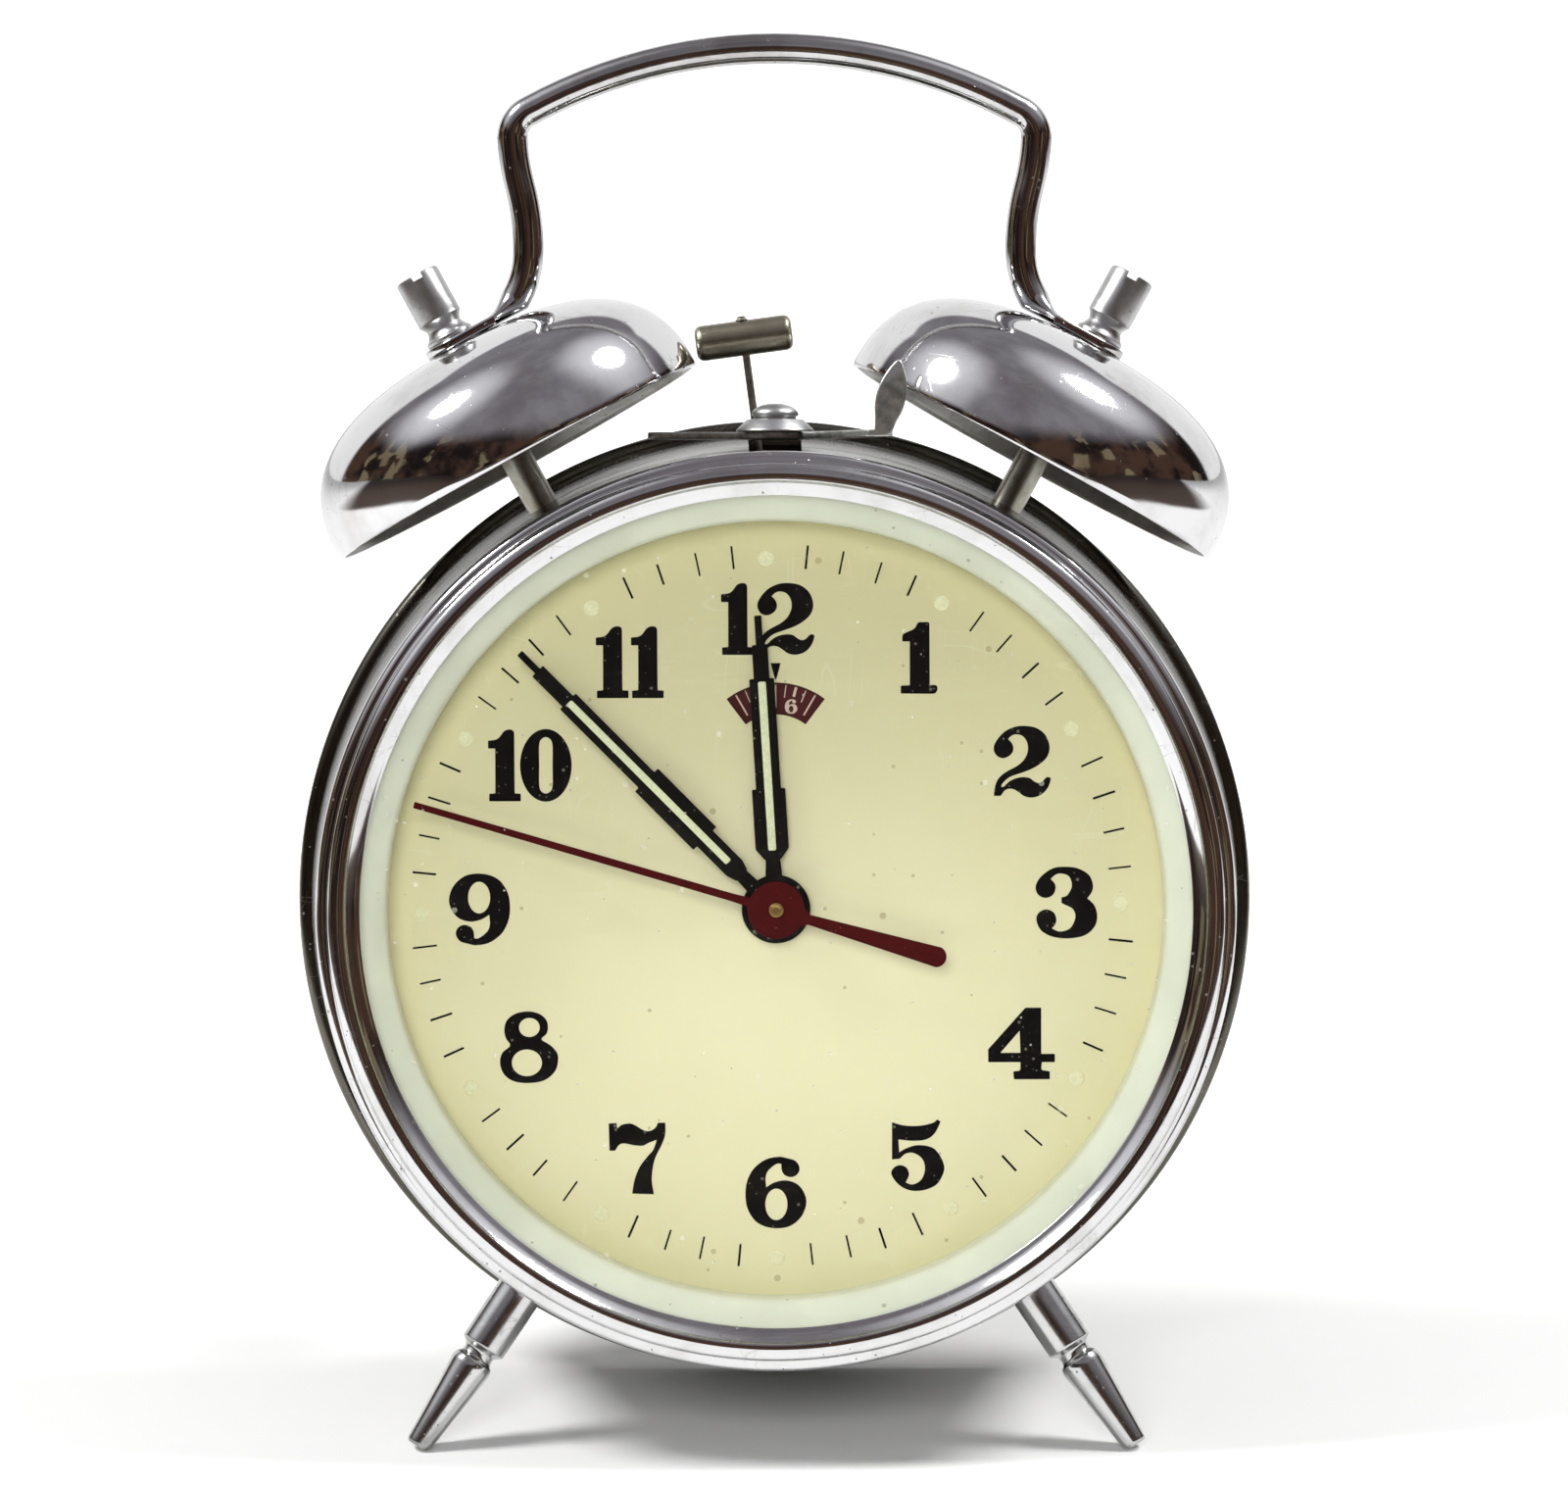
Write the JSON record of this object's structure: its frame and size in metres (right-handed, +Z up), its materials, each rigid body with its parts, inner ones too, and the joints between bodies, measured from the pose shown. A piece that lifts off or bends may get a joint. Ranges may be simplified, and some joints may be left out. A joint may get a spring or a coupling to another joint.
{
  "type": "alarm clock",
  "caption": "Round wind-up alarm clock with twin domed bells, a hammer between them, a carrying handle, a stop lever, splayed legs and keys at the back.",
  "frame": {"origin": "on the surface that the clock stands on, under the middle of its overall box", "axes": "+Z up, the dial faces -Y and leans back, +X is to the right of someone facing the dial"},
  "size_m": [0.1212, 0.0688, 0.1694],
  "materials": {
    "chrome_case": "polished chrome plate",
    "chrome_bell": "polished chrome plate",
    "nickel": "satin nickel plate",
    "hammer_nickel": "darkened nickel plate",
    "glass": "clear flat glass",
    "dial_ring_paint": "pale green-white enamel",
    "dial_paint": "cream printed dial",
    "disc_paint": "maroon enamel",
    "hand_paint": "gloss black enamel",
    "second_paint": "dark red enamel",
    "brass": "lacquered brass",
    "steel": "bright steel",
    "spring_steel": "blued spring steel"
  },
  "bodies": {
    "root": {"case_drum": "chrome_case", "bezel": "chrome_case", "glass": "glass", "dial_ring": "dial_ring_paint", "dial_plate": "dial_paint", "left_bell": "chrome_bell", "right_bell": "chrome_bell", "left_bell_post": "nickel", "right_bell_post": "nickel", "left_bell_nut": "nickel", "right_bell_nut": "nickel", "post_nuts": "brass", "handle": "chrome_case", "lever_rivet": "chrome_case", "lever_bracket": "steel", "left_leg": "nickel", "right_leg": "nickel", "leg_nuts": "brass", "back_cover": "chrome_case", "cover_screws": "nickel", "front_plate": "brass", "rear_plate": "brass", "pillars": "steel", "pillar_nuts": "steel", "cover_standoffs": "steel", "time_mainspring": "spring_steel", "alarm_mainspring": "spring_steel"},
    "minute": {"minute_hand": "hand_paint", "cannon_pinion": "brass"},
    "hour": {"hour_hand": "hand_paint", "hour_wheel": "brass"},
    "minute_wheel": {"minute_wheel": "brass"},
    "alarm_wheel": {"alarm_wheel": "brass"},
    "time_setting": {"time_set_arbor": "steel", "time_set_knob": "brass"},
    "alarm_setting": {"alarm_set_arbor": "steel", "alarm_set_knob": "brass", "alarm_disc": "disc_paint"},
    "seconds": {"seconds_wheel": "brass", "second_hand": "second_paint"},
    "third_wheel": {"third_wheel": "brass"},
    "centre_wheel": {"centre_wheel": "brass"},
    "time_great_wheel": {"time_great_wheel": "brass"},
    "escape_wheel": {"escape_wheel": "brass"},
    "pallet_fork": {"pallet_fork": "steel"},
    "balance": {"balance_wheel": "brass", "hairspring": "spring_steel"},
    "regulator": {"regulator_lever": "steel"},
    "time_winding": {"time_winding_arbor": "steel", "time_key": "nickel"},
    "alarm_winding": {"alarm_winding_arbor": "steel", "alarm_key": "nickel"},
    "alarm_great_wheel": {"alarm_great_wheel": "brass"},
    "alarm_escape_wheel": {"alarm_escape_wheel": "brass"},
    "hammer": {"hammer_head": "hammer_nickel", "hammer_arm": "hammer_nickel"},
    "stop_lever": {"stop_lever": "nickel"}
  },
  "joints": [
    {"name": "minute_turn", "type": "hinge", "parent": "root", "child": "minute", "pos_m": [0, -0.00364, 0.06324], "axis": [0, 0.9838, -0.1793], "continuous": true},
    {"name": "hour_turn", "type": "hinge", "parent": "root", "child": "hour", "pos_m": [0, -0.00364, 0.06324], "axis": [0, 0.9838, -0.1793], "continuous": true},
    {"name": "minute_wheel_turn", "type": "hinge", "parent": "root", "child": "minute_wheel", "pos_m": [-0.00847, -0.01082, 0.05732], "axis": [0, 0.9838, -0.1793], "continuous": true},
    {"name": "time_set", "type": "hinge", "parent": "root", "child": "time_setting", "pos_m": [-0.01695, 0.00364, 0.04745], "axis": [0, 0.9838, -0.1793], "continuous": true},
    {"name": "alarm_wheel_turn", "type": "hinge", "parent": "root", "child": "alarm_wheel", "pos_m": [0, -0.00834, 0.08209], "axis": [0, 0.9838, -0.1793], "continuous": true},
    {"name": "seconds_turn", "type": "hinge", "parent": "root", "child": "seconds", "pos_m": [0, 0.00619, 0.06144], "axis": [0, 0.9838, -0.1793], "continuous": true},
    {"name": "third_turn", "type": "hinge", "parent": "root", "child": "third_wheel", "pos_m": [0, -0.00115, 0.04906], "axis": [0, 0.9838, -0.1793], "continuous": true},
    {"name": "centre_turn", "type": "hinge", "parent": "root", "child": "centre_wheel", "pos_m": [0, -0.00168, 0.06288], "axis": [0, 0.9838, -0.1793], "continuous": true},
    {"name": "great_turn", "type": "hinge", "parent": "root", "child": "time_great_wheel", "pos_m": [0.0203, 0.0029, 0.05454], "axis": [0, 0.9838, -0.1793], "continuous": true},
    {"name": "escape_turn", "type": "hinge", "parent": "root", "child": "escape_wheel", "pos_m": [0.007, 0.00345, 0.07427], "axis": [0, 0.9838, -0.1793], "continuous": true},
    {"name": "pallet_rock", "type": "hinge", "parent": "root", "child": "pallet_fork", "pos_m": [0.01156, 0.00475, 0.08145], "axis": [0, 0.9838, -0.1793], "range_deg": [-5, 5]},
    {"name": "balance_swing", "type": "hinge", "parent": "root", "child": "balance", "pos_m": [0.01907, 0.00648, 0.0909], "axis": [0, 0.9838, -0.1793], "range_deg": [-150, 150]},
    {"name": "regulator_turn", "type": "hinge", "parent": "root", "child": "regulator", "pos_m": [0.01907, 0.01632, 0.08911], "axis": [0, 0.9838, -0.1793], "range_deg": [-16, 16]},
    {"name": "time_wind", "type": "hinge", "parent": "root", "child": "time_winding", "pos_m": [0.0203, 0.00979, 0.05328], "axis": [0, 0.9838, -0.1793], "continuous": true},
    {"name": "alarm_wind", "type": "hinge", "parent": "root", "child": "alarm_winding", "pos_m": [-0.027, 0.01165, 0.0635], "axis": [0, 0.9838, -0.1793], "continuous": true},
    {"name": "alarm_set", "type": "hinge", "parent": "root", "child": "alarm_setting", "pos_m": [0, 0.00445, 0.07976], "axis": [0, 0.9838, -0.1793], "continuous": true},
    {"name": "alarm_great_turn", "type": "hinge", "parent": "root", "child": "alarm_great_wheel", "pos_m": [-0.027, 0.00476, 0.06475], "axis": [0, 0.9838, -0.1793], "continuous": true},
    {"name": "alarm_escape_turn", "type": "hinge", "parent": "root", "child": "alarm_escape_wheel", "pos_m": [-0.01738, 0.0048, 0.08169], "axis": [0, 0.9838, -0.1793], "continuous": true},
    {"name": "hammer_swing", "type": "hinge", "parent": "root", "child": "hammer", "pos_m": [0, 0.00677, 0.10363], "axis": [0, 0.9838, -0.1793], "range_deg": [0, 15.2]},
    {"name": "stop_lever_turn", "type": "hinge", "parent": "root", "child": "stop_lever", "pos_m": [0, 0.00276, 0.12067], "axis": [0, -0.1793, -0.9838], "range_deg": [0, 12]}
  ],
  "couplings": [
    {"joint": "hour_turn", "follows": "minute_turn", "ratio": 0.083333},
    {"joint": "minute_wheel_turn", "follows": "minute_turn", "ratio": -0.33333},
    {"joint": "time_set", "follows": "minute_turn", "ratio": 1},
    {"joint": "alarm_wheel_turn", "follows": "minute_turn", "ratio": -0.083333},
    {"joint": "third_turn", "follows": "seconds_turn", "ratio": -0.13333},
    {"joint": "centre_turn", "follows": "seconds_turn", "ratio": 0.016667},
    {"joint": "great_turn", "follows": "seconds_turn", "ratio": -0.0033333},
    {"joint": "escape_turn", "follows": "seconds_turn", "ratio": -6},
    {"joint": "alarm_escape_turn", "follows": "alarm_great_turn", "ratio": -6}
  ]
}
